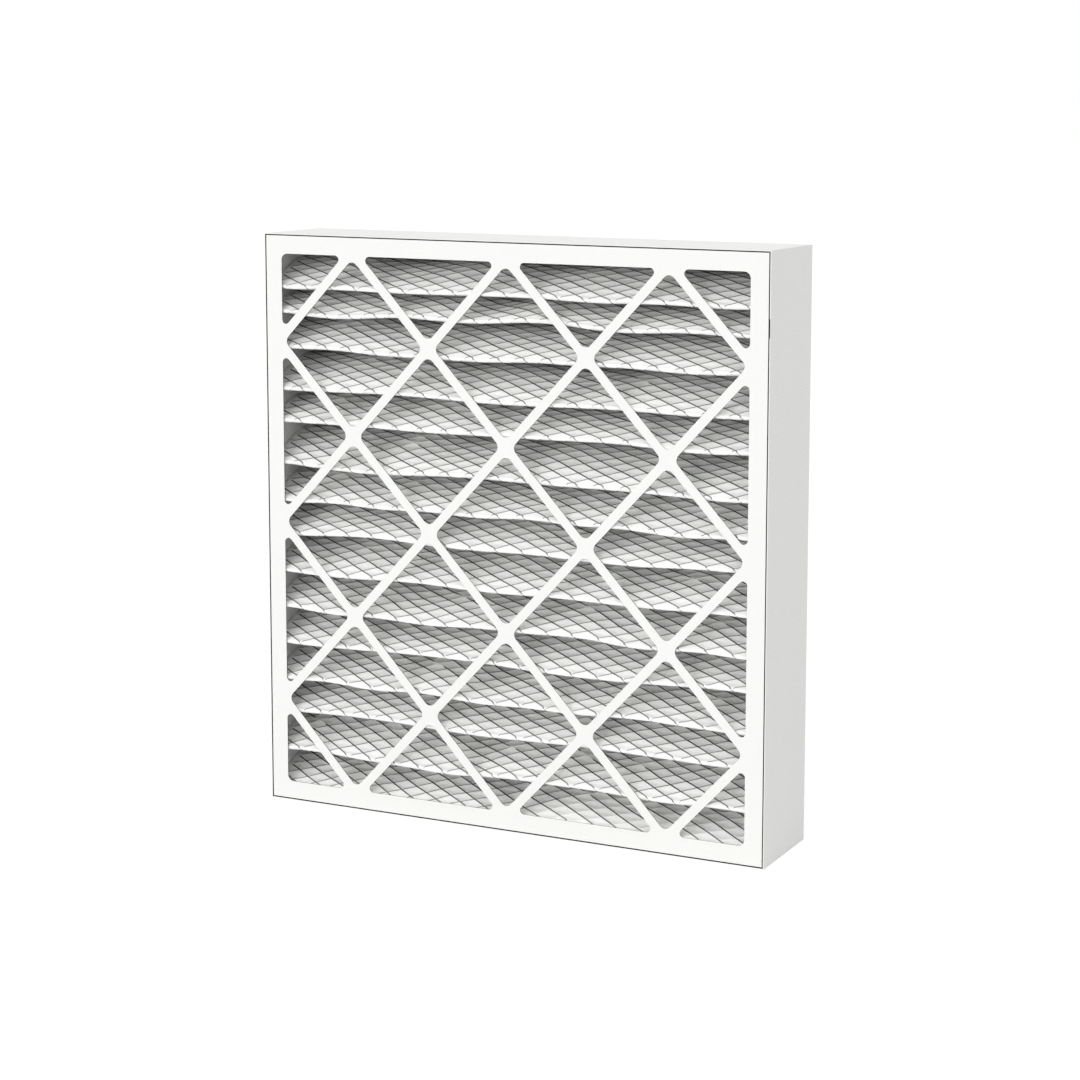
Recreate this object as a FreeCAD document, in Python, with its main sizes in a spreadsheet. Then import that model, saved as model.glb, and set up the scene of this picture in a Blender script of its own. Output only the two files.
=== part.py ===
import FreeCAD, Part
import math
import os
import Sketcher

# Pleated panel air filter, four inches deep.
# Two folded board trays slide into each other and hold one pleated pack of filter cloth.
# Both trays have a die-cut face with a lattice of diamonds, and the pack has a backing of
# expanded metal on its front side. Frame: +Z up, front face towards -Y, origin at the middle
# of the bottom edge, in millimetres.

V = FreeCAD.Vector
XY, XZ, YZ = "XY_Plane", "XZ_Plane", "YZ_Plane"
LEAST_CUT = 1e-7  # share of a body that a pocket has to remove
EVEN_STEP = -1.0  # step of a pattern that follows its own offset

# Driving dimensions, each with its alias in the sheet, its value and what it is.
SIZES = [
    ("overall_width", 495.3, "across the outer tray"),
    ("overall_height", 527.0, "over the outer tray"),
    ("overall_depth", 95.25, "front face to rear face"),
    ("board_thickness", 0.7, "die-cut board of both trays"),
    ("tray_gap", 0.9, "between the outer and inner walls, filled by a glue tab at each corner"),
    ("tab_clearance", 0.1, "beside a glue tab and at the slit of a corner"),
    ("fold_radius", 0.6, "outside of the folds round a face"),
    ("inner_wall_depth", 75.0, "walls of the inner tray, from the front face"),
    ("inner_tab_depth", 52.5, "free edge of the inner tray's tabs, from the front face"),
    ("outer_tab_setback", 3.0, "outer tray's tabs, behind the raw front edge"),
    ("tab_foot_clearance", 0.5, "between a tab and the face board beside it"),
    ("tab_length", 42.0, "glue tab along the side wall"),
    ("tab_chamfer", 12.0, "cut corners of a glue tab"),
    ("notch_length", 16.3, "nick in the raw edge of the right wall"),
    ("notch_drop", 56.7, "from the top down to the nick"),
    ("notch_bite", 0.45, "nick, into the board's thickness"),
    ("notch_depth", 2.5, "nick, back from the raw edge"),
    ("flange_width", 18.0, "plain border round the lattice, from the outside"),
    ("node_inset", 14.5, "outermost bar crossings, from the outside"),
    ("bar_width", 8.4, "lattice bars"),
    ("diamonds_each_way", 3, "whole diamonds across and up the face"),
    ("crossing_radius", 6.5, "cell corners where two bars cross"),
    ("opening_radius", 5.8, "square corners of the opening"),
    ("sharp_radius", 3.8, "acute corners of the edge cells"),
    ("pleat_count", 16, "front tips"),
    ("first_tip_drop", 14.7, "first and last tip, from the outside"),
    ("rear_fold_rise", 0.8, "each rear fold above the tip below it, as a share of the gap between tips"),
    ("cloth_thickness", 2.2, "filter cloth"),
    ("fold_inner_radius", 2.6, "inside of a cloth fold"),
    ("end_flap_length", 40.0, "cloth that lies along the top and bottom walls"),
    ("seat_gap", 0.4, "between the pleat tips or flaps and the board, filled by glue"),
    ("backing_thickness", 0.6, "expanded metal"),
    ("lamination_gap", 0.1, "between the cloth and its backing"),
    ("backing_inset", 9.0, "the backing stops short of the cloth at both ends"),
    ("windows_per_row", 4, "openings of the backing in the first row of a flank"),
    ("strand_width", 5.0, "metal between two openings of the backing"),
    ("window_margin", 5.0, "metal beside a fold"),
    ("seal_width", 1.9, "end bead between the pack and a side wall"),
    ("seal_swell", 0.4, "end bead beyond each side of the cloth"),
    ("glue_width", 5.0, "glue line on the back of a bar"),
    ("glue_thickness", 0.3, "glue line on the back of a bar"),
]

# How far each front tip sits above its even place, as a share of the pitch, from the top down.
TIP_WANDER = [0, 0, 0.3, 0.3, 0.2, 0.3, 0.1, 0.1, 0.2, 0.1, 0.05, 0.1, 0.05, 0.15, 0, 0]

doc = FreeCAD.newDocument("panel_filter")
sheet = doc.addObject("Spreadsheet::Sheet", "Sizes")
for row, (alias, value, meaning) in enumerate(SIZES, start=1):
    sheet.set(f"A{row}", alias)
    sheet.set(f"B{row}", str(value))
    sheet.set(f"C{row}", meaning)
    sheet.setAlias(f"B{row}", alias)
doc.recompute()


def size(alias):
    """A driving dimension, read from the sheet."""
    return float(sheet.get(alias))


width, height, depth = size("overall_width"), size("overall_height"), size("overall_depth")
board, clearance = size("board_thickness"), size("tab_clearance")
front_y, rear_y = -depth / 2, depth / 2


# Helpers for bodies, sketches and features.


def new_body(name):
    """A body whose label is the node's name."""
    body = doc.addObject("PartDesign::Body", name)
    body.Label = name
    return body


def new_sketch(body, name, plane, offset=0.0, placement=None):
    """A sketch on one of the body's own origin planes, moved along that plane's normal."""
    sketch = body.newObject("Sketcher::SketchObject", name)
    support = next(f for f in body.Origin.OriginFeatures if f.Role == plane)
    sketch.AttachmentSupport = [(support, "")]
    sketch.MapMode = "FlatFace"
    sketch.AttachmentOffset = placement or FreeCAD.Placement(V(0, 0, offset), FreeCAD.Rotation())
    return sketch


def add_rectangle(sketch, name, centre, across, up, across_rule, up_rule):
    """A rectangle about a centre, whose two sizes follow the sheet."""
    cx, cy = centre
    x0, x1, y0, y1 = cx - across / 2, cx + across / 2, cy - up / 2, cy + up / 2
    corners = [V(x0, y0, 0), V(x1, y0, 0), V(x1, y1, 0), V(x0, y1, 0)]
    first = sketch.GeometryCount
    for k in range(4):
        sketch.addGeometry(Part.LineSegment(corners[k], corners[(k + 1) % 4]), False)
    for k in range(4):
        sketch.addConstraint(Sketcher.Constraint("Coincident", first + k, 2, first + (k + 1) % 4, 1))
    for k, kind in enumerate(("Horizontal", "Vertical", "Horizontal", "Vertical")):
        sketch.addConstraint(Sketcher.Constraint(kind, first + k))
    for label, line, value, rule in (("across", 0, across, across_rule), ("up", 1, up, up_rule)):
        index = sketch.addConstraint(Sketcher.Constraint("Distance", first + line, value))
        sketch.renameConstraint(index, f"{name}_{label}")
        sketch.setExpression(f"Constraints.{name}_{label}", rule)
    return first


def rounded_loop(sketch, corners, radii):
    """A closed outline with one arc in each corner."""
    count = len(corners)
    starts, ends, middles = [], [], []
    for k in range(count):
        corner = corners[k]
        back = (corners[k - 1] - corner).normalize()
        ahead = (corners[(k + 1) % count] - corner).normalize()
        half = back.getAngle(ahead) / 2
        reach = radii[k] / math.tan(half)
        starts.append(corner + back * reach)
        ends.append(corner + ahead * reach)
        bisector = (back + ahead).normalize()
        middles.append(corner + bisector * (radii[k] / math.sin(half) - radii[k]))
    for k in range(count):
        sketch.addGeometry(Part.Arc(starts[k], middles[k], ends[k]), False)
        sketch.addGeometry(Part.LineSegment(ends[k], starts[(k + 1) % count]), False)


def straight_loop(sketch, corners):
    """A closed outline with plain corners."""
    for k, corner in enumerate(corners):
        sketch.addGeometry(Part.LineSegment(corner, corners[(k + 1) % len(corners)]), False)


def add_pad(body, name, sketch, length_rule, backwards=False, both_ways=False):
    """A pad whose length follows the sheet."""
    pad = body.newObject("PartDesign::Pad", name)
    pad.Profile = sketch
    pad.setExpression("Length", length_rule)
    pad.Reversed = backwards
    pad.Midplane = both_ways
    doc.recompute()
    return pad


def add_pocket(body, name, sketch, length_rule, backwards=False, both_ways=False):
    """A pocket whose depth follows the sheet. One that cuts nothing is refused."""
    before = body.Shape.Volume
    pocket = body.newObject("PartDesign::Pocket", name)
    pocket.Profile = sketch
    pocket.setExpression("Length", length_rule)
    pocket.Reversed = backwards
    pocket.Midplane = both_ways
    doc.recompute()
    if pocket.Shape.Volume > before * (1 - LEAST_CUT):
        raise RuntimeError(f"{name} cuts nothing")
    return pocket


def add_grid(body, name, feature, sketch, across_rule, up_rule, count_across, count_up):
    """Repeats a feature across and up the face by the pitch of the diamonds."""
    if count_across < 2 and count_up < 2:
        return
    grid = body.newObject("PartDesign::LinearPattern", name)
    grid.Originals = [feature]
    grid.Direction = (sketch, ["H_Axis"])
    grid.Mode = "Spacing"
    grid.setExpression("Offset", across_rule)
    grid.Occurrences = count_across
    grid.Spacings = [EVEN_STEP] * max(count_across - 1, 1)
    grid.Direction2 = (sketch, ["V_Axis"])
    grid.Mode2 = "Spacing"
    grid.setExpression("Offset2", up_rule)
    grid.Occurrences2 = count_up
    grid.Spacings2 = [EVEN_STEP] * max(count_up - 1, 1)
    body.Tip = grid
    doc.recompute()


# The lattice: bar crossings lie on a grid of half pitches, counted from the lower left crossing.

diamonds = int(size("diamonds_each_way"))
half_across = (width - 2 * size("node_inset")) / (2 * diamonds)
half_up = (height - 2 * size("node_inset")) / (2 * diamonds)
PITCH_ACROSS = "(Sizes.overall_width - 2 * Sizes.node_inset) / Sizes.diamonds_each_way"
PITCH_UP = "(Sizes.overall_height - 2 * Sizes.node_inset) / Sizes.diamonds_each_way"
bar_share = size("bar_width") / 2 * math.hypot(1 / half_across, 1 / half_up)
clear_across = half_across * (1 - bar_share)
clear_up = half_up * (1 - bar_share)
open_x = width / 2 - size("flange_width")
open_low, open_high = size("flange_width"), height - size("flange_width")


def grid_point(i, j):
    """Where bars may cross, i half pitches across and j up."""
    return V(-width / 2 + size("node_inset") + i * half_across, size("node_inset") + j * half_up, 0)


def whole_diamond(i, j):
    """Corners of the cell about a grid point."""
    c = grid_point(i, j)
    return [c + V(clear_across, 0, 0), c + V(0, clear_up, 0), c - V(clear_across, 0, 0), c - V(0, clear_up, 0)]


def half_diamond_below(i, j, edge, inward):
    """Cell at the bottom or top edge of the opening: inward is 1 at the bottom and -1 at the top."""
    c = grid_point(i, j)
    reach = clear_across * (1 - abs(edge - c.y) / clear_up)
    return [V(c.x + reach, edge, 0), V(c.x, c.y + inward * clear_up, 0), V(c.x - reach, edge, 0)]


def half_diamond_beside(i, j, edge, inward):
    """Cell at the left or right edge of the opening: inward is 1 at the left and -1 at the right."""
    c = grid_point(i, j)
    reach = clear_up * (1 - abs(edge - c.x) / clear_across)
    return [V(edge, c.y + reach, 0), V(c.x + inward * clear_across, c.y, 0), V(edge, c.y - reach, 0)]


def corner_cell(i, j, edge_x, edge_z):
    """Three-sided cell in a corner of the opening."""
    c = grid_point(i, j)
    inward_x, inward_z = math.copysign(1, -edge_x), math.copysign(1, height / 2 - edge_z)
    reach_x = clear_across * (1 - abs(edge_z - c.y) / clear_up)
    reach_z = clear_up * (1 - abs(edge_x - c.x) / clear_across)
    return [V(edge_x, edge_z, 0), V(c.x + inward_x * reach_x, edge_z, 0), V(edge_x, c.y + inward_z * reach_z, 0)]


def cut_lattice(body, plane_offset, backwards):
    """Cuts the cells of one face: whole diamonds in two grids, then the edge and corner cells."""
    crossing, square, sharp = size("crossing_radius"), size("opening_radius"), size("sharp_radius")
    last = 2 * diamonds
    edge_radii = [sharp, crossing, sharp]
    cells = [
        ("odd_diamonds", [(whole_diamond(1, 1), [crossing] * 4)], diamonds, diamonds),
        ("even_diamonds", [(whole_diamond(2, 2), [crossing] * 4)], diamonds - 1, diamonds - 1),
        (
            "top_and_bottom_cells",
            [
                (half_diamond_below(2, 0, open_low, 1), edge_radii),
                (half_diamond_below(2, last, open_high, -1), edge_radii),
            ],
            diamonds - 1,
            1,
        ),
        (
            "side_cells",
            [
                (half_diamond_beside(0, 2, -open_x, 1), edge_radii),
                (half_diamond_beside(last, 2, open_x, -1), edge_radii),
            ],
            1,
            diamonds - 1,
        ),
        (
            "corner_cells",
            [
                (corner_cell(i, j, x, z), [square, sharp, sharp])
                for i, x in ((0, -open_x), (last, open_x))
                for j, z in ((0, open_low), (last, open_high))
            ],
            1,
            1,
        ),
    ]
    for name, loops, count_across, count_up in cells:
        if min(count_across, count_up) < 1:
            continue
        sketch = new_sketch(body, f"{body.Name}_{name}", XZ, plane_offset)
        for corners, radii in loops:
            rounded_loop(sketch, corners, radii)
        pocket = add_pocket(
            body, f"{body.Name}_cut_{name}", sketch, "Sizes.board_thickness", backwards=not backwards
        )
        add_grid(
            body, f"{body.Name}_grid_{name}", pocket, sketch, PITCH_ACROSS, PITCH_UP, count_across, count_up
        )


# The trays: a lattice face, four walls folded from it, and four glue tabs folded from the
# top and bottom walls. A slit beside each tab parts the side walls from the other two.


def tray_tabs(body, side_x, top_z, bottom_z, near_y, far_y):
    """Four glue tabs inside the side walls, as two on the right and their mirror images."""
    chamfer, length = size("tab_chamfer"), size("tab_length")
    low_y, high_y = min(near_y, far_y), max(near_y, far_y)
    sketch = new_sketch(body, f"{body.Name}_tab_profiles", YZ, side_x)
    for root, inward in ((bottom_z, 1), (top_z, -1)):
        free = root + inward * length
        shoulder = free - inward * chamfer
        straight_loop(
            sketch,
            [
                V(low_y, root, 0),
                V(high_y, root, 0),
                V(high_y, shoulder, 0),
                V(high_y - chamfer, free, 0),
                V(low_y + chamfer, free, 0),
                V(low_y, shoulder, 0),
            ],
        )
    tabs = add_pad(body, f"{body.Name}_tabs", sketch, "Sizes.board_thickness", backwards=True)
    mirror = body.newObject("PartDesign::Mirrored", f"{body.Name}_left_tabs")
    mirror.Originals = [tabs]
    plane = next(f for f in body.Origin.OriginFeatures if f.Role == YZ)
    mirror.MirrorPlane = (plane, [""])
    body.Tip = mirror
    doc.recompute()


def fold_edges(body, y, outer_x, low_z, high_z):
    """Names of the four outer edges of a face, where its walls fold away."""
    names = []
    for number, edge in enumerate(body.Shape.Edges, start=1):
        middle, box = edge.CenterOfMass, edge.BoundBox
        on_face = abs(box.YMin - y) < 1e-6 and abs(box.YMax - y) < 1e-6
        on_side = box.XLength < 1e-6 and abs(abs(middle.x) - outer_x) < 1e-6
        on_level = box.ZLength < 1e-6 and min(abs(middle.z - low_z), abs(middle.z - high_z)) < 1e-6
        if on_face and (on_side or on_level):
            names.append(f"Edge{number}")
    return names


def make_tray(name, inset, inset_rule, face_y, inward, wall_depth, wall_rule, tab_near, tab_far):
    """One tray. Inward is the direction along Y from its face into the filter."""
    body = new_body(name)
    forwards = inward > 0
    outer_x, low_z, high_z = width / 2 - inset, inset, height - inset
    middle = (0, height / 2)
    face = new_sketch(body, f"{name}_face_outline", XZ, -face_y)
    across_rule = f"Sizes.overall_width - 2 * ({inset_rule})"
    up_rule = f"Sizes.overall_height - 2 * ({inset_rule})"
    add_rectangle(face, "face", middle, 2 * outer_x, high_z - low_z, across_rule, up_rule)
    add_pad(body, f"{name}_face", face, "Sizes.board_thickness", backwards=forwards)

    walls = new_sketch(body, f"{name}_wall_outlines", XZ, -face_y)
    side_centre = outer_x - board / 2
    level_across = 2 * (outer_x - board - clearance)
    level_rule = f"{across_rule} - 2 * (Sizes.board_thickness + Sizes.tab_clearance)"
    for side, sign in (("left", -1), ("right", 1)):
        add_rectangle(
            walls, side, (sign * side_centre, height / 2), board, high_z - low_z,
            "Sizes.board_thickness", up_rule,
        )
    for level, z in (("bottom", low_z + board / 2), ("top", high_z - board / 2)):
        add_rectangle(
            walls, level, (0, z), level_across, board, level_rule, "Sizes.board_thickness"
        )
    add_pad(body, f"{name}_walls", walls, wall_rule, backwards=forwards)
    tray_tabs(
        body, outer_x - board - clearance, high_z - board / 2, low_z + board / 2, tab_near, tab_far
    )
    cut_lattice(body, -face_y, forwards)
    base, edges = body.Tip, fold_edges(body, face_y, outer_x, low_z, high_z)
    folds = body.newObject("PartDesign::Fillet", f"{name}_folds")
    folds.Base = (base, edges)
    folds.setExpression("Radius", "Sizes.fold_radius")
    body.Tip = folds
    doc.recompute()
    return body


def make_rear_tray():
    """Outer tray: rear face, and walls whose raw edges show round the front face."""
    name = "rear_tray"
    body = make_tray(
        name, 0.0, "0", rear_y, -1, depth, "Sizes.overall_depth",
        rear_y - board - size("tab_foot_clearance"), front_y + size("outer_tab_setback"),
    )
    inner = width / 2 - board
    bite, top = size("notch_bite"), height - size("notch_drop")
    low = top - size("notch_length")
    notch = new_sketch(body, f"{name}_notch_outline", XZ, -front_y)
    straight_loop(notch, [V(inner, low, 0), V(inner + bite, low + bite, 0), V(inner + bite, top, 0), V(inner, top, 0)])
    add_pocket(body, f"{name}_notch", notch, "Sizes.notch_depth", backwards=False)
    return body


def make_front_tray():
    """Inner tray: front face, and shorter walls inside those of the outer tray."""
    return make_tray(
        "front_tray", board + size("tray_gap"), "Sizes.board_thickness + Sizes.tray_gap", front_y, 1,
        size("inner_wall_depth"), "Sizes.inner_wall_depth",
        front_y + board + size("tab_foot_clearance"), front_y + size("inner_tab_depth"),
    )


# The pack: one strip of cloth folded to and fro, in side view. Folds are circles that the
# strip goes round, rear and front in turn, joined by straight flanks.

wall_stack = 2 * board + size("tray_gap")
cloth, backing = size("cloth_thickness"), size("backing_thickness")
fold_radius = size("fold_inner_radius") + cloth / 2
fold_outer = size("fold_inner_radius") + cloth
backing_near = cloth / 2 + size("lamination_gap")
backing_far = backing_near + backing
pleats = int(size("pleat_count"))
tip_pitch = (height - 2 * size("first_tip_drop")) / (pleats - 1)
front_fold_y = front_y + board + size("seat_gap") + fold_radius + backing_far
rear_fold_y = rear_y - board - size("seat_gap") - fold_outer


def fold_centres():
    """Centres of the folds from the top down, starting and ending at the rear by a wall."""
    wander = [TIP_WANDER[k % len(TIP_WANDER)] for k in range(pleats)]
    tips = [height - size("first_tip_drop") - (k - wander[k]) * tip_pitch for k in range(pleats)]
    rise = size("rear_fold_rise")
    by_wall = wall_stack + size("seat_gap") + fold_outer
    centres = [V(rear_fold_y, height - by_wall, 0)]
    for k, tip in enumerate(tips):
        centres.append(V(front_fold_y, tip, 0))
        below = tips[k + 1] + rise * (tip - tips[k + 1]) if k + 1 < pleats else by_wall
        centres.append(V(rear_fold_y, below, 0))
    return centres


def flank_angle(k, centres):
    """Direction of the straight flank from fold k to the next, in radians."""
    step = centres[k + 1] - centres[k]
    lean = math.asin(2 * fold_radius / step.Length)
    return math.atan2(step.y, step.x) + (-lean if k % 2 == 0 else lean)


def strip_side(offset, centres):
    """Edges of one side of the strip from the top flap to the bottom flap, with its two ends."""
    last = len(centres) - 1
    headings = [0.0] + [flank_angle(k, centres) for k in range(last)] + [math.pi]
    flap = size("end_flap_length")
    edges = []
    for k, centre in enumerate(centres):
        rear = k % 2 == 0
        radius = fold_radius - offset if rear else fold_radius + offset
        side = math.pi / 2 if rear else -math.pi / 2
        enter, leave = headings[k] + side, headings[k + 1] + side
        turn = (enter - leave) % (2 * math.pi) if rear else -((leave - enter) % (2 * math.pi))
        points = [
            centre + V(math.cos(angle), math.sin(angle), 0) * radius
            for angle in (enter, enter - turn / 2, leave if rear else enter - turn)
        ]
        start = points[0] - V(flap, 0, 0) if k == 0 else edges[-1][-1]
        edges.append([start, points[0]])
        edges.append(points)
    edges.append([edges[-1][-1], edges[-1][-1] - V(flap, 0, 0)])
    return edges


def draw_strip(sketch, near, far, centres):
    """The closed outline of a strip between two offsets from the cloth's middle line."""
    sides = [strip_side(offset, centres) for offset in (near, far)]
    for edges in sides:
        for points in edges:
            curve = Part.LineSegment(*points) if len(points) == 2 else Part.Arc(*points)
            sketch.addGeometry(curve, False)
    for end in ((0, 0), (-1, -1)):
        sketch.addGeometry(Part.LineSegment(sides[0][end[0]][end[1]], sides[1][end[0]][end[1]]), False)


inner_wall_x = width / 2 - wall_stack
pack_x = inner_wall_x - size("seal_width")
PACK_WIDTH = (
    "Sizes.overall_width - 2 * (2 * Sizes.board_thickness + Sizes.tray_gap + Sizes.seal_width)"
)


def make_cloth(centres):
    """The pleated filter cloth, one folded piece."""
    body = new_body("pleated_cloth")
    sketch = new_sketch(body, "cloth_section", YZ)
    draw_strip(sketch, -cloth / 2, cloth / 2, centres)
    add_pad(body, "cloth_pack", sketch, PACK_WIDTH, both_ways=True)
    return body


def make_backing(centres):
    """Expanded metal on the front side of the cloth, with coarse openings in the upper flanks."""
    body = new_body("backing_sheet")
    sketch = new_sketch(body, "backing_section", YZ)
    draw_strip(sketch, backing_near, backing_far, centres)
    add_pad(body, "backing_pack", sketch, f"{PACK_WIDTH} - 2 * Sizes.backing_inset", both_ways=True)
    openings = doc.addObject("Part::Feature", "backing_openings")
    openings.Shape = Part.Compound(
        [prism for k in range(0, 2 * pleats, 2) for prism in flank_openings(k, centres)]
    )
    node = doc.addObject("Part::Cut", "wire_backing")
    node.Label = "wire_backing"
    node.Base, node.Tool = body, openings
    doc.recompute()
    return node


def flank_openings(k, centres):
    """Two staggered rows of diamond prisms through the flank from rear fold k down to its tip."""
    heading = flank_angle(k, centres)
    side = V(-math.sin(heading), math.cos(heading), 0)
    start = centres[k] + side * (fold_radius - backing_near)
    stop = centres[k + 1] - side * (fold_radius + backing_near)
    middle = (start + stop) / 2
    lean = math.atan2(stop.y - start.y, start.x - stop.x)
    turn = FreeCAD.Rotation(V(1, 0, 0), -math.degrees(lean))
    on_flank = FreeCAD.Placement(V(0, middle.x, middle.y), turn)

    count = int(size("windows_per_row"))
    cell_across = 2 * (pack_x - size("backing_inset")) / (count + 0.5)
    cell_along = ((stop - start).Length - 2 * size("window_margin")) / 1.5
    share = size("strand_width") / 2 * math.hypot(2 / cell_across, 2 / cell_along)
    reach_across, reach_along = cell_across / 2 * (1 - share), cell_along / 2 * (1 - share)
    through = 2 * backing + size("lamination_gap")
    prisms = []
    for row, columns in ((-1, count), (1, count - 1)):
        for column in range(columns):
            x = (column - (columns - 1) / 2) * cell_across
            y = row * cell_along / 4
            corners = [
                V(x + reach_across, y, -through / 2),
                V(x, y + reach_along, -through / 2),
                V(x - reach_across, y, -through / 2),
                V(x, y - reach_along, -through / 2),
            ]
            diamond = Part.Face(Part.makePolygon(corners + corners[:1]))
            prism = diamond.extrude(V(0, 0, through))
            prism.Placement = on_flank
            prisms.append(prism)
    return prisms


def make_seal(name, side, centres):
    """Bead that joins one end of the pack to its side wall, cut back where glue tabs lie."""
    body = new_body(name)
    swell = size("seal_swell")
    offset = inner_wall_x if side > 0 else -pack_x
    sketch = new_sketch(body, f"{name}_section", YZ, offset)
    draw_strip(sketch, -cloth / 2 - swell, cloth / 2 + swell, centres)
    add_pad(body, f"{name}_bead", sketch, "Sizes.seal_width", backwards=True)
    recess = new_sketch(body, f"{name}_tab_recess", YZ, side * inner_wall_x)
    back = front_y + size("inner_tab_depth") + clearance
    reach = size("tab_length") + clearance
    for root, inward in ((wall_stack, 1), (height - wall_stack, -1)):
        free = root + inward * reach
        straight_loop(recess, [V(front_y, root, 0), V(back, root, 0), V(back, free, 0), V(front_y, free, 0)])
    add_pocket(
        body, f"{name}_recess", recess, "Sizes.board_thickness + 2 * Sizes.tab_clearance",
        backwards=side < 0,
    )
    return body


# Glue lines on the backs of the lattice bars, where the pleat tips are bonded.


def bar_runs(rising):
    """End points of the bars that lean one way."""
    last = 2 * diamonds
    runs = []
    for k in range(1, last, 2):
        if rising:
            runs.append((grid_point(k, 0), grid_point(last, last - k)))
            runs.append((grid_point(0, k), grid_point(last - k, last)))
        else:
            runs.append((grid_point(k, 0), grid_point(0, k)))
            runs.append((grid_point(last, last - k), grid_point(last - k, last)))
    return runs


def make_glue(name, face_y, inward):
    """Glue lines behind one face, crossing as its bars do."""
    body = new_body(name)
    plane_offset = -(face_y + inward * board)
    for rising in (True, False):
        label = "rising" if rising else "falling"
        sketch = new_sketch(body, f"{name}_{label}_lines", XZ, plane_offset)
        for start, stop in bar_runs(rising):
            along = (stop - start).normalize()
            aside = V(-along.y, along.x, 0) * (size("glue_width") / 2)
            straight_loop(sketch, [start - aside, stop - aside, stop + aside, start + aside])
        add_pad(body, f"{name}_{label}", sketch, "Sizes.glue_thickness", backwards=inward > 0)
    return body


centres = fold_centres()
nodes = [
    make_rear_tray(),
    make_front_tray(),
    make_cloth(centres),
    make_backing(centres),
    make_seal("left_end_seal", -1, centres),
    make_seal("right_end_seal", 1, centres),
    make_glue("front_glue_lines", front_y, 1),
    make_glue("rear_glue_lines", rear_y, -1),
]
doc.recompute()

for item in doc.Objects:
    if "Invalid" in item.State or "Error" in item.State:
        raise RuntimeError(f"{item.Name} is {item.State}")
for node in nodes:
    if node.Shape.isNull() or not node.Shape.isValid() or not node.Shape.Solids:
        raise RuntimeError(f"{node.Label} has no valid solid")

os.makedirs("parts", exist_ok=True)
for node in nodes:
    node.Shape.exportStep(f"parts/{node.Label}.step")
    box = node.Shape.BoundBox
    print(
        f"{node.Label}: {len(node.Shape.Solids)} solid, {len(node.Shape.Faces)} faces, "
        f"{node.Shape.Volume / 1000:.1f} cm3, x {box.XMin:.2f}..{box.XMax:.2f}, "
        f"y {box.YMin:.2f}..{box.YMax:.2f}, z {box.ZMin:.2f}..{box.ZMax:.2f}"
    )
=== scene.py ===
"""A pleated panel air filter in a white board frame, dressed for a studio photograph."""

import math
import random
from collections import namedtuple

import bpy
import numpy as np
from mathutils import Matrix


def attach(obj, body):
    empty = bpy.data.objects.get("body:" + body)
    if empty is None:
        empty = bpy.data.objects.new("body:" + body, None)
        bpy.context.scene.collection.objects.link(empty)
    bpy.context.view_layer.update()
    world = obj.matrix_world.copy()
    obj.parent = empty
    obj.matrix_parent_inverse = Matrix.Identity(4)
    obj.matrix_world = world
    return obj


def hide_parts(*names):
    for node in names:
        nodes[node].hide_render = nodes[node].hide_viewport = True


MM = 0.001
WHITE = (1, 1, 1, 1)

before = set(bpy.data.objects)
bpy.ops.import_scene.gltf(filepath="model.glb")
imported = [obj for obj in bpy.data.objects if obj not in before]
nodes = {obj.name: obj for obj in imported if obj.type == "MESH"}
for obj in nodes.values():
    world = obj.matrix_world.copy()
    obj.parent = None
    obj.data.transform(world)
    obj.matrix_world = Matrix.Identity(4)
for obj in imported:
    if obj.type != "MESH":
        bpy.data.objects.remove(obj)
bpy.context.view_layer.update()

# Overall sizes of the filter. All sizes before the stage are in millimetres
WIDTH, HEIGHT, DEPTH = 495.3, 527.0, 95.25

# The folds of the cloth. The real tips are sharper than the solid's, with their front at the same place
PLEATS = 16
FIRST_TIP_DROP = 14.7
FRONT_FOLD_Y, REAR_FOLD_Y = -44.4, 41.925
FRONT_RADIUS, REAR_RADIUS = 0.95, 3.7
TIP_LIFT = 0.3
END_FOLD_Z = 7.5
FLAP = 40.0
# How far each tip lies above its even place, as a share of the pitch
TIP_WANDER = [0, 0, 0.3, 0.3, 0.2, 0.3, 0.1, 0.1, 0.2, 0.1, 0.05, 0.1, 0.05, 0.15, 0, 0]
# Where a rear fold lies between the tip below it, at 0, and the tip above it, at 1
REAR_FOLD_RISE = 0.8
# How far the upper flanks bow out, the power that moves the bow back, and where its slope starts
UPPER_BOW, BOW_SKEW, SLOPE_FROM = 8.6, 0.8, 0.02

# Uneven folds and flanks: how many sines, the shortest and the longest, and how high
FRONT_WAVE = (4, 90, 360, 1.725)
REAR_WAVE = (4, 90, 360, 2.1)
END_WAVE = (4, 90, 360, 0.0)
RECESS = (3, 60, 240, 0.7)
END_RECESS = (3, 60, 240, 0.0)
LOW_SWELL = (4, 60, 190, 1.1)
FINE_SWELL = (3, 45, 120, 0.6)
# How far the fine swell drifts sideways along a flank
SWELL_DRIFT = 90
# The unevenness dies down over this length at the ends of the pack, where the folds keep a share of it
END_EASE, END_SHARE = 25.0, 0.35

# The cloth, and its divisions round a fold, along a flank and across
CLOTH_THICKNESS = 1.8
CLOTH_HALF_WIDTH = 243.45
CLOTH_ARC_STEPS, CLOTH_STEP, CLOTH_COLUMNS = 6, 9.2, 92

# The expanded metal: the long and the short way of one diamond, and its strands
DIAMOND_X, DIAMOND_S = 25.4, 12.7
MESH_HALF_WIDTH = 238.5
STRAND_THICK = 0.42
SHORTEST_STRAND, STRAND_MARGIN = 3, 1.0
SIDE_WAVER = 0.3
# How far the strands sink into the cloth halfway round the sharp front folds
MESH_SINK = 0.7
# Divisions round a fold, the gap beside it, and how near a tip the strands may bend more often
STRAND_ARC_STEPS, FOLD_MARGIN, NEAR_TIP = 5, 0.8, 28

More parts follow.
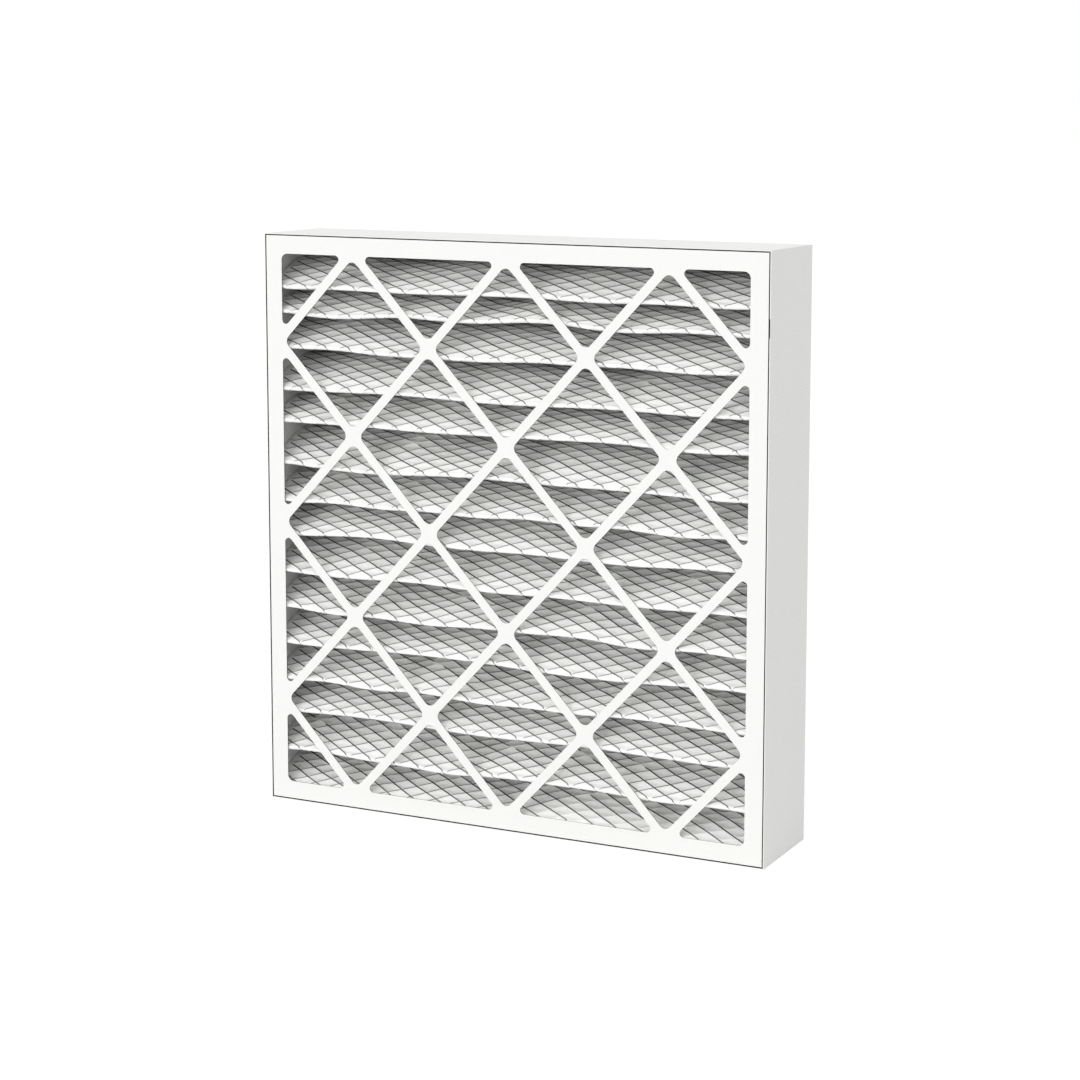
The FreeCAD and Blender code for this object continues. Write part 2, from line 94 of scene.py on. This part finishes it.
# Which way a family of strands leans, how far it stands off, its width, its waver and 1 for the one in
# painted shade
Family = namedtuple("Family", "way offset width waver tone")
FAMILIES = (
    Family(way=1, offset=1.34, width=1.1, waver=0.175, tone=1.0),
    Family(way=-1, offset=1.2, width=0.935, waver=0.4, tone=0.0),
)

# The board: its border, the depth in which a face of the lattice lies, and the gap between two walls
BORDER, FACE_BAND = 17.9, 1.0
GAP_MIDDLE, GAP_HALF = 1.15, 0.6

# The stage, in metres
FLOOR_REACH = 30.0
SKY_STRENGTH = 0.66
# Each lamp's name, the direction it shines from, its strength and its spread in degrees
LAMPS = (
    ("key", (-0.25, -1.0, 1.0), 0.50, 50),
    ("low", (-0.3, -1.0, 0.08), 1.0, 40),
    ("overhead", (0.1, -0.3, 1.0), 0.70, 50),
    ("fill", (0.9, -0.5, 0.6), 0.16, 60),
)

# The photograph's camera, as solved from the frame's edges: its place in metres, its turns in degrees
CAMERA_PLACE = (0.9898, -1.9032, 0.6540)
CAMERA_TURN, CAMERA_DOWN, CAMERA_ROLL = 24.677, 7.372, 0.368
SENSOR_WIDTH, LENS = 36.0, 80.802
SHIFT_X, SHIFT_Y = -0.1005, -0.1222


def smooth_waves(rng, count, shortest, longest, size):
    """A sum of sines with random lengths, sizes and phases, as rows of (wavenumber, size, phase)."""
    rows = []
    for _ in range(count):
        length = rng.uniform(shortest, longest)
        rows.append((2 * math.pi / length, size * rng.uniform(0.5, 1.0) / count**0.5, rng.uniform(0, 7)))
    return rows


def wave(rows, x):
    """The value of such a sum at each x."""
    total = np.zeros_like(x)
    for number, size, phase in rows:
        total += size * np.sin(number * x + phase)
    return total


def fold_centres():
    """The centre of each fold from the top down, as y and z. The odd ones are the front tips."""
    pitch = (HEIGHT - 2 * FIRST_TIP_DROP) / (PLEATS - 1)
    tips = [HEIGHT - FIRST_TIP_DROP - (k - TIP_WANDER[k]) * pitch for k in range(PLEATS)]
    centres = [(REAR_FOLD_Y, HEIGHT - END_FOLD_Z)]
    for k, tip in enumerate(tips):
        centres.append((FRONT_FOLD_Y, tip + TIP_LIFT))
        last = k + 1 == PLEATS
        rear_z = END_FOLD_Z if last else tips[k + 1] + REAR_FOLD_RISE * (tip - tips[k + 1])
        centres.append((REAR_FOLD_Y, rear_z))
    return centres


def flank_heading(centres, k):
    """The direction of the flank that leaves fold k, which touches the rounds at both its ends."""
    dy = centres[k + 1][0] - centres[k][0]
    dz = centres[k + 1][1] - centres[k][1]
    lean = math.asin((FRONT_RADIUS + REAR_RADIUS) / math.hypot(dy, dz))
    return math.atan2(dz, dy) + (lean if k % 2 else -lean)


def turned(turn, way):
    """The same turn the given way round, between none and three quarters."""
    while turn * way < 0:
        turn += 2 * math.pi * way
    while turn * way > 1.5 * math.pi:
        turn -= 2 * math.pi * way
    return turn


def side_of(turn):
    """The angle from the way the strip runs to the line out of the centre of its turn."""
    return math.pi / 2 if turn < 0 else -math.pi / 2


# One part of the strip: y and z are a fold's centre or a flank's start, and fold and after its ends
Part = namedtuple("Part", "start length arc heading turn y z fold after")


class Strip:
    """The folded strip: from a length along it and a place across it to a point in space."""

    def __init__(self):
        rng = random.Random(11)
        self.centres = fold_centres()
        count = len(self.centres)
        self.radii = [FRONT_RADIUS if k % 2 else REAR_RADIUS for k in range(count)]
        self.parts = self.lay_parts()
        self.length = self.parts[-1].start + FLAP
        self.starts = np.array([part.start for part in self.parts])
        self.shift = []
        self.recess = []
        for k in range(count):
            free = 0 < k < count - 1
            fold_wave = FRONT_WAVE if k % 2 else REAR_WAVE
            self.shift.append(smooth_waves(rng, *(fold_wave if free else END_WAVE)))
            self.recess.append(smooth_waves(rng, *(RECESS if free else END_RECESS)))
        self.swell = [
            (smooth_waves(rng, *LOW_SWELL), smooth_waves(rng, *FINE_SWELL)) for _ in range(count - 1)
        ]

    def lay_parts(self):
        """The parts in order: a flap, the folds with the flanks between them, and the other flap."""
        last = len(self.centres) - 1
        heading = 0.0
        y, z = REAR_FOLD_Y - FLAP, self.centres[0][1] + REAR_RADIUS
        parts = [Part(0.0, FLAP, False, heading, 0.0, y, z, 0, 0)]
        s = FLAP
        for k, (cy, cz) in enumerate(self.centres):
            after = flank_heading(self.centres, k) if k < last else -math.pi
            turn = turned(after - heading, 1 if k % 2 else -1)
            radius = self.radii[k]
            length = abs(turn) * radius
            parts.append(Part(s, length, True, heading, turn, cy, cz, k, k))
            s += length
            heading += turn
            y = cy + radius * math.cos(heading + side_of(turn))
            z = cz + radius * math.sin(heading + side_of(turn))
            if k < last:
                ny, nz = self.centres[k + 1]
                apart = math.hypot(ny - cy, nz - cz)
                length = math.sqrt(apart**2 - (FRONT_RADIUS + REAR_RADIUS) ** 2)
                parts.append(Part(s, length, False, heading, 0.0, y, z, k, k + 1))
                s += length
        parts.append(Part(s, FLAP, False, heading, 0.0, y, z, last, last))
        return parts

    def stations(self):
        """Lengths along the strip at which the cloth is divided."""
        out = []
        for part in self.parts:
            count = CLOTH_ARC_STEPS if part.arc else round(part.length / CLOTH_STEP)
            out += [part.start + part.length * i / count for i in range(count)]
        return np.array(out + [self.length])

    def set_back(self, fold, x):
        """How far a fold lies towards the middle of the depth at each x."""
        return np.abs(wave(self.recess[fold], x)) * (1 if fold % 2 else -1)

    def place(self, s, x, offset):
        """Points in millimetres at s along the strip, x across it, and an offset to its front side."""
        index = np.clip(np.searchsorted(self.starts, s, side="right") - 1, 0, len(self.parts) - 1)
        out = np.zeros((len(s), 3))
        for i in np.unique(index):
            pick = index == i
            out[pick] = self.place_on(self.parts[i], s[pick], x[pick], offset[pick])
        return out

    def place_on(self, part, s, x, offset):
        """The same for points that lie on one part."""
        t = (s - part.start) / part.length
        if part.arc:
            h = part.heading + part.turn * t
            y = part.y + self.radii[part.fold] * np.cos(h + side_of(part.turn))
            z = part.z + self.radii[part.fold] * np.sin(h + side_of(part.turn))
        else:
            h = np.full_like(t, part.heading)
            y = part.y + part.length * t * math.cos(part.heading)
            z = part.z + part.length * t * math.sin(part.heading)
        # The front side lies to the right of the way the strip runs
        ny, nz = np.sin(h), -np.cos(h)
        oy, oz = ny, nz
        is_flank = part.fold != part.after
        ease = t if is_flank else np.zeros_like(t)
        ends = np.clip((CLOTH_HALF_WIDTH - np.abs(x)) / END_EASE, 0, 1)
        shift = (1 - ease) * wave(self.shift[part.fold], x) + ease * wave(self.shift[part.after], x)
        recess = (1 - ease) * self.set_back(part.fold, x) + ease * self.set_back(part.after, x)
        if part.arc and part.fold % 2:
            # Only the strands lie further out than the cloth's own surface, so only they sink
            sunk = MESH_SINK * 2 * np.minimum(t, 1 - t)
            offset = np.where(offset > CLOTH_THICKNESS / 2, offset - sunk, offset)
        lift = np.zeros_like(t)
        if is_flank:
            low, fine = self.swell[part.fold]
            crest = np.sin(np.pi * t)
            lift = ends * crest * (wave(low, x) + wave(fine, x + SWELL_DRIFT * t) * crest)
            if part.fold % 2 == 0 and part.fold > 0:
                # The upper flank is full: steep by the tip and flatter further in
                lift = lift + UPPER_BOW * np.sin(np.pi * t**BOW_SKEW)
                late = np.maximum(t, SLOPE_FROM)
                slope = UPPER_BOW / part.length * np.pi * BOW_SKEW * late ** (BOW_SKEW - 1)
                slope = slope * np.cos(np.pi * late**BOW_SKEW)
                long = np.sqrt(1 + slope**2)
                oy, oz = (ny - slope * np.cos(h)) / long, (nz - slope * np.sin(h)) / long
        y = y + ny * lift + oy * offset + recess * ends
        z = z + nz * lift + oz * offset + shift * (END_SHARE + (1 - END_SHARE) * ends)
        return np.column_stack([x, y, z])


strip = Strip()


def new_object(name, vertices, faces):
    """A smooth mesh object from points in millimetres."""
    mesh = bpy.data.meshes.new(name)
    mesh.from_pydata((np.asarray(vertices) * MM).tolist(), [], faces)
    mesh.validate()
    mesh.update()
    mesh.polygons.foreach_set("use_smooth", [True] * len(mesh.polygons))
    obj = bpy.data.objects.new(name, mesh)
    bpy.context.scene.collection.objects.link(obj)
    return obj


def add_point_values(obj, name, values):
    """A named number at each point of the mesh, for its material."""
    attribute = obj.data.attributes.new(name, "FLOAT", "POINT")
    attribute.data.foreach_set("value", np.asarray(values, np.float32))


def rim(rows, columns):
    """The points round the edge of a grid, in order."""
    edge = list(range(columns))
    edge += [i * columns + columns - 1 for i in range(1, rows)]
    edge += [(rows - 1) * columns + j for j in range(columns - 2, -1, -1)]
    edge += [i * columns for i in range(rows - 2, 0, -1)]
    return edge


def make_cloth():
    """The pleated cloth, as one closed skin round the strip."""
    s = strip.stations()
    x = np.linspace(-CLOTH_HALF_WIDTH, CLOTH_HALF_WIDTH, CLOTH_COLUMNS)
    rows, columns = len(s), len(x)
    grid_s = np.repeat(s, columns)
    grid_x = np.tile(x, rows)
    half = np.full(len(grid_s), CLOTH_THICKNESS / 2)
    front = strip.place(grid_s, grid_x, half)
    rear = strip.place(grid_s, grid_x, -half)
    count = rows * columns
    faces = []
    for i in range(rows - 1):
        for j in range(columns - 1):
            a = i * columns + j
            b, c, d = a + 1, a + columns + 1, a + columns
            faces.append((a, b, c, d))
            faces.append((count + d, count + c, count + b, count + a))
    edge = rim(rows, columns)
    for a, b in zip(edge, edge[1:] + edge[:1]):
        faces.append((b, a, count + a, count + b))
    obj = new_object("filter_cloth", np.vstack([front, rear]), faces)
    # Where each point lies on the flat strip, for the fibres and the pillows in the mesh
    flat = np.zeros((2 * count, 2), np.float32)
    flat[:, 0] = np.tile(grid_x, 2) * MM
    flat[:, 1] = np.tile(grid_s, 2) * MM
    layer = obj.data.uv_layers.new(name="flat")
    corner = np.zeros(len(obj.data.loops), np.int32)
    obj.data.loops.foreach_get("vertex_index", corner)
    layer.data.foreach_set("uv", flat[corner].ravel())
    add_point_values(obj, "front_side", np.repeat([1.0, 0.0], count))
    return obj


def strand_stations():
    """Lengths along the strip at which the strands may bend."""
    out = set()
    step = DIAMOND_S / 2
    for part in strip.parts:
        if part.arc:
            for i in range(STRAND_ARC_STEPS + 1):
                out.add(round(part.start + part.length * i / STRAND_ARC_STEPS, 3))
            continue
        end = part.start + part.length
        first = math.ceil((part.start + FOLD_MARGIN) / step)
        last = math.floor((end - FOLD_MARGIN) / step)
        for n in range(first, last + 1):
            after_tip = part.fold % 2 and n * step - part.start < NEAR_TIP
            before_tip = part.after % 2 and end - n * step < NEAR_TIP
            if after_tip or before_tip or n % 2 == 0:
                out.add(round(n * step, 3))
    return np.array(sorted(out))


def unit(vectors):
    """The same directions with length one."""
    return vectors / np.linalg.norm(vectors, axis=1)[:, None]


def strand_points(family, s, x):
    """The four corners of a strand's diamond section at each of its stations."""
    middle = strip.place(s, x, np.full(len(s), family.offset))
    above = strip.place(s, x, np.full(len(s), family.offset + 1.0))
    normal = unit(above - middle)
    across = unit(np.cross(unit(np.gradient(middle, axis=0)), normal))
    wide, thick = across * family.width / 2, normal * STRAND_THICK / 2
    corners = np.stack([middle + wide, middle + thick, middle - wide, middle - thick], axis=1)
    return corners.reshape(-1, 3)


def strand_faces(first, count):
    """The faces of a closed strand whose points start at first, with four at each station."""
    faces = []
    for base in range(first, first + 4 * (count - 1), 4):
        for side in range(4):
            after = (side + 1) % 4
            faces.append((base + side, base + after, base + 4 + after, base + 4 + side))
    faces.append((first + 3, first + 2, first + 1, first))
    end = first + 4 * (count - 1)
    faces.append((end, end + 1, end + 2, end + 3))
    return faces


def make_expanded_metal():
    """Two families of strands that cross in diamonds over the front side of the strip."""
    rng = random.Random(23)
    stations = strand_stations()
    top, bottom = FLAP + STRAND_MARGIN, strip.length - FLAP - STRAND_MARGIN
    ratio = DIAMOND_X / DIAMOND_S
    points, faces, tones = [], [], []
    for family in FAMILIES:
        first_line = math.floor(-family.way * MESH_HALF_WIDTH / DIAMOND_X - bottom / DIAMOND_S) - 1
        for line in range(first_line, -first_line + 1):
            # Each strand follows x = way * (DIAMOND_X * line + ratio * s)
            a = max((-MESH_HALF_WIDTH - DIAMOND_X * line) / ratio, top)
            b = min((MESH_HALF_WIDTH - DIAMOND_X * line) / ratio, bottom)
            if b - a < SHORTEST_STRAND:
                continue
            inside = stations[(stations > a + STRAND_MARGIN) & (stations < b - STRAND_MARGIN)]
            s = np.concatenate([[a], inside, [b]])
            x = family.way * (DIAMOND_X * line + ratio * s)
            s = s + np.array([rng.uniform(-family.waver, family.waver) for _ in s])
            s[0], s[-1] = a, b
            x = x + np.array([rng.uniform(-SIDE_WAVER, SIDE_WAVER) for _ in s])
            x = np.clip(x, -MESH_HALF_WIDTH, MESH_HALF_WIDTH)
            faces += strand_faces(len(tones), len(s))
            points.append(strand_points(family, s, x))
            tones += [family.tone] * (4 * len(s))
    obj = new_object("expanded_metal", np.vstack(points), faces)
    add_point_values(obj, "family", tones)
    return obj


class Nodes:
    """A short way to build the nodes of a material or of the world."""

    def __init__(self, owner, output="OutputMaterial"):
        self.owner = owner
        owner.use_nodes = True
        self.tree = owner.node_tree
        self.tree.nodes.clear()
        self.out = self.add(output)

    def add(self, kind, inputs=None, **settings):
        node = self.tree.nodes.new("ShaderNode" + kind)
        for key, value in settings.items():
            setattr(node, key, value)
        for key, value in (inputs or {}).items():
            self.plug(value, node.inputs[key])
        return node

    def plug(self, value, socket):
        if isinstance(value, bpy.types.NodeSocket):
            self.tree.links.new(value, socket)
        else:
            socket.default_value = value

    def math(self, operation, *values):
        return self.add("Math", dict(enumerate(values)), operation=operation).outputs[0]

    def product(self, first, *others):
        for other in others:
            first = self.math("MULTIPLY", first, other)
        return first

    def mix(self, factor, a, b):
        return self.add("Mix", {0: factor, 6: a, 7: b}, data_type="RGBA").outputs[2]

    def noise(self, vector, **settings):
        return self.add("TexNoise", {"Vector": vector, **settings}).outputs["Fac"]

    def direct(self):
        """One for rays straight from the camera, off a mirror or through glass, and else zero."""
        path = self.add("LightPath")
        seen = self.math("MAXIMUM", path.outputs["Is Camera Ray"], path.outputs["Is Glossy Ray"])
        return self.math("MAXIMUM", seen, path.outputs["Is Transmission Ray"])

    def finish(self, shader):
        """The shader goes to the output, and the finished material or world comes back."""
        self.plug(shader.outputs[0], self.out.inputs[0])
        return self.owner


def grey(value, warm=0.0):
    """A colour close to grey, a little warm."""
    return (value * (1 - 0.2 * warm), value, value * (1 - warm), 1)


def board_material():
    """White coated board: fine mottling, faint waves, painted shade on the cut edges round the diamonds
    and painted shade in the gap between the trays.
    """
    n = Nodes(bpy.data.materials.new("white_board"))
    geometry = n.add("NewGeometry")
    position = geometry.outputs["Position"]
    x, y, z = n.add("SeparateXYZ", {0: position}).outputs
    normal = n.add("SeparateXYZ", {0: geometry.outputs["True Normal"]})
    facing = [n.math("ABSOLUTE", part) for part in normal.outputs]
    fine = n.noise(position, Scale=650.0, Detail=4.0)
    broad = n.noise(position, Scale=34.0, Detail=3.0)
    # The walls and edges are mottled more strongly than the faces
    is_wall = n.math("LESS_THAN", facing[1], 0.5)
    on_face = n.mix(fine, grey(0.80, 0.03), grey(0.86, 0.02))
    on_wall = n.mix(fine, grey(0.66, 0.03), grey(0.95, 0.02))
    tone = n.mix(is_wall, on_face, on_wall)
    tone = n.mix(n.math("MULTIPLY", broad, 0.2), tone, grey(0.81, 0.03))
    # Painted shade: cut edges of the lattice, inside the border and close to either face, have the
    # board's grey core darkened to near black for the thin shadow along them
    off_x = n.math("ABSOLUTE", x)
    off_z = n.math("ABSOLUTE", n.math("SUBTRACT", z, HEIGHT / 2 * MM))
    in_x = n.math("LESS_THAN", off_x, (WIDTH / 2 - BORDER) * MM)
    in_z = n.math("LESS_THAN", off_z, (HEIGHT / 2 - BORDER) * MM)
    at_face = n.math("GREATER_THAN", n.math("ABSOLUTE", y), (DEPTH / 2 - FACE_BAND) * MM)
    tone = n.mix(n.product(is_wall, in_x, in_z, at_face), tone, grey(0.03, 0.05))
    # Painted shade: the narrow gap between the walls of the two trays is coloured near black, darker than
    # the board's grey raw back
    gap_shade = []
    for off, size, faces in ((off_x, WIDTH, facing[0]), (off_z, HEIGHT, facing[2])):
        near = n.math("COMPARE", off, (size / 2 - GAP_MIDDLE) * MM, GAP_HALF * MM)
        gap_shade.append(n.product(near, n.math("GREATER_THAN", faces, 0.5)))
    tone = n.mix(n.math("MAXIMUM", *gap_shade), tone, grey(0.05, 0.05))
    height = n.math("ADD", n.math("MULTIPLY", fine, 0.25), broad)
    bump = n.add("Bump", {"Height": height, "Strength": 0.06, "Distance": 0.002})
    look = {"Base Color": tone, "Roughness": 0.62, "Specular IOR Level": 0.25, "Normal": bump.outputs[0]}
    return n.finish(n.add("BsdfPrincipled", look))


def cloth_material():
    """Lofty non-woven cloth: fibres along the pleats, and a soft pillow in each diamond of the mesh."""
    n = Nodes(bpy.data.materials.new("pleated_cloth"))
    flat = n.add("UVMap", uv_map="flat").outputs[0]
    across, along, _ = n.add("SeparateXYZ", {0: flat}).outputs
    front = n.add("Attribute", attribute_name="front_side", attribute_type="GEOMETRY")
    p = n.math("DIVIDE", across, DIAMOND_X * MM)
    q = n.math("DIVIDE", along, DIAMOND_S * MM)
    hills = []
    for operation in ("ADD", "SUBTRACT"):
        share = n.math("FRACT", n.math(operation, p, q))
        off = n.math("MULTIPLY", n.math("ABSOLUTE", n.math("SUBTRACT", share, 0.5)), 2.0)
        hills.append(n.math("SUBTRACT", 1.0, n.math("POWER", off, 2.0)))
    pillow = n.product(hills[0], hills[1], front.outputs["Fac"])
    fibre_map = n.add("Mapping", {"Vector": flat, "Scale": (260.0, 1500.0, 1.0)})
    fibre = n.noise(fibre_map.outputs[0], Scale=1.0, Detail=5.0, Roughness=0.62)
    tuft_map = n.add("Mapping", {"Vector": flat, "Scale": (70.0, 170.0, 1.0)})
    tuft = n.noise(tuft_map.outputs[0], Scale=1.0, Detail=3.0)
    tone = n.mix(fibre, grey(0.92, 0.025), grey(0.99, 0.018))
    tone = n.mix(n.math("MULTIPLY", tuft, 0.35), tone, grey(0.93, 0.03))
    height = n.math("ADD", pillow, n.math("MULTIPLY", fibre, 0.25))
    height = n.math("ADD", height, n.math("MULTIPLY", tuft, 0.3))
    bump = n.add("Bump", {"Height": height, "Strength": 1.0, "Distance": 0.0018})
    look = {"Base Color": tone, "Roughness": 0.95, "Specular IOR Level": 0.1, "Normal": bump.outputs[0]}
    sheen = {"Sheen Weight": 0.15, "Sheen Roughness": 0.6}
    return n.finish(n.add("BsdfPrincipled", {**look, **sheen}))


def metal_material():
    """Galvanised expanded metal: dull zinc with a faint spangle, one family darker with painted shade,
    and painted light towards the front folds.
    """
    n = Nodes(bpy.data.materials.new("expanded_metal"))
    position = n.add("NewGeometry").outputs["Position"]
    family = n.add("Attribute", attribute_name="family", attribute_type="GEOMETRY")
    spangle = n.noise(position, Scale=220.0, Detail=3.0)
    # Painted shade: the same zinc is coloured near black on one family of strands, for the way it turns
    # from the light
    shaded_family_tone = n.mix(spangle, (0.004, 0.004, 0.004, 1), (0.022, 0.022, 0.02, 1))
    pale = n.mix(spangle, (0.17, 0.17, 0.16, 1), (0.32, 0.32, 0.31, 1))
    tone = n.mix(family.outputs["Fac"], pale, shaded_family_tone)
    # Painted light: the strands are coloured paler towards the front folds, close to the lattice, where
    # they catch more light than deep in the valleys
    depth = n.add("SeparateXYZ", {0: position}).outputs[1]
    painted_light_near_front = n.add("MapRange", {0: depth, 1: -30 * MM, 2: -46 * MM, 3: 0.0, 4: 0.6})
    tone = n.mix(painted_light_near_front.outputs[0], tone, (0.42, 0.42, 0.41, 1))
    look = {"Base Color": tone, "Metallic": 0.1, "Roughness": 0.6, "Specular IOR Level": 0.1}
    return n.finish(n.add("BsdfPrincipled", look))


def adhesive_material():
    """Dried glue, off-white and slightly glossy, uneven."""
    n = Nodes(bpy.data.materials.new("dried_glue"))
    lumps = n.noise(n.add("NewGeometry").outputs["Position"], Scale=180.0, Detail=4.0)
    tone = n.mix(lumps, grey(0.74, 0.10), grey(0.86, 0.06))
    bump = n.add("Bump", {"Height": lumps, "Strength": 0.6, "Distance": 0.001})
    look = {"Base Color": tone, "Roughness": 0.38, "Normal": bump.outputs[0]}
    return n.finish(n.add("BsdfPrincipled", look))


def give(obj, material):
    """The object shows one material all over."""
    obj.data.materials.clear()
    obj.data.materials.append(material)


def assign(obj, material):
    """A carried-over node keeps its mesh and gets a better material in each of its slots."""
    if not obj.material_slots:
        obj.data.materials.append(material)
    for slot in obj.material_slots:
        slot.material = material


board = board_material()
glue = adhesive_material()
for name in ("rear_tray", "front_tray"):
    assign(nodes[name], board)
for name in ("left_end_seal", "right_end_seal", "front_glue_lines", "rear_glue_lines"):
    assign(nodes[name], glue)

cloth = make_cloth()
give(cloth, cloth_material())
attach(cloth, "root")
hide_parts("pleated_cloth")

metal = make_expanded_metal()
give(metal, metal_material())
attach(metal, "root")
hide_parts("wire_backing")


def make_floor():
    """A pale floor, white to the camera but for the object's own soft shadow."""
    mesh = bpy.data.meshes.new("floor")
    corners = [(x * FLOOR_REACH, y * FLOOR_REACH, 0) for x, y in ((-1, -1), (1, -1), (1, 1), (-1, 1))]
    mesh.from_pydata(corners, [], [(0, 1, 2, 3)])
    floor = bpy.data.objects.new("floor", mesh)
    bpy.context.scene.collection.objects.link(floor)
    n = Nodes(bpy.data.materials.new("floor"))
    plain = n.add("BsdfDiffuse", {"Color": (0.84, 0.84, 0.84, 1)})
    faint = n.add("BsdfDiffuse", {"Color": (0.16, 0.16, 0.16, 1)})
    glow = n.add("Emission", {"Color": WHITE, "Strength": 0.88})
    seen = n.add("AddShader", {0: faint.outputs[0], 1: glow.outputs[0]})
    choose = n.add("MixShader", {0: n.direct(), 1: plain.outputs[0], 2: seen.outputs[0]})
    mesh.materials.append(n.finish(choose))


def make_world():
    """A plain even sky, which the camera sees as white."""
    n = Nodes(bpy.data.worlds.new("studio"), "OutputWorld")
    light = n.add("Background", {"Color": WHITE, "Strength": SKY_STRENGTH})
    seen = n.add("Background", {"Color": WHITE, "Strength": 1.0})
    choose = n.add("MixShader", {0: n.direct(), 1: light.outputs[0], 2: seen.outputs[0]})
    bpy.context.scene.world = n.finish(choose)


def make_lamp(name, direction, strength, spread):
    """A soft far lamp that shines from a direction."""
    data = bpy.data.lights.new(name, "SUN")
    data.energy = strength
    data.angle = math.radians(spread)
    lamp = bpy.data.objects.new(name, data)
    bpy.context.scene.collection.objects.link(lamp)
    x, y, z = direction
    heading = Matrix.Rotation(math.atan2(x, -y), 4, "Z")
    tilt = Matrix.Rotation(math.atan2(math.hypot(x, y), z), 4, "X")
    lamp.matrix_world = heading @ tilt


def make_camera():
    """The photograph's camera."""
    data = bpy.data.cameras.new("camera")
    data.sensor_fit = "HORIZONTAL"
    data.sensor_width = SENSOR_WIDTH
    data.lens = LENS
    data.shift_x = SHIFT_X
    data.shift_y = SHIFT_Y
    data.clip_start = 0.01
    data.clip_end = 100.0
    camera = bpy.data.objects.new("camera", data)
    bpy.context.scene.collection.objects.link(camera)
    turn = Matrix.Rotation(math.radians(CAMERA_TURN), 4, "Z")
    tilt = Matrix.Rotation(math.radians(90 - CAMERA_DOWN), 4, "X")
    roll = Matrix.Rotation(math.radians(CAMERA_ROLL), 4, "Z")
    camera.matrix_world = Matrix.Translation(CAMERA_PLACE) @ turn @ tilt @ roll
    bpy.context.scene.camera = camera


make_floor()
make_world()
for lamp in LAMPS:
    make_lamp(*lamp)
make_camera()
bpy.context.scene.view_settings.view_transform = "Standard"

bpy.context.view_layer.update()
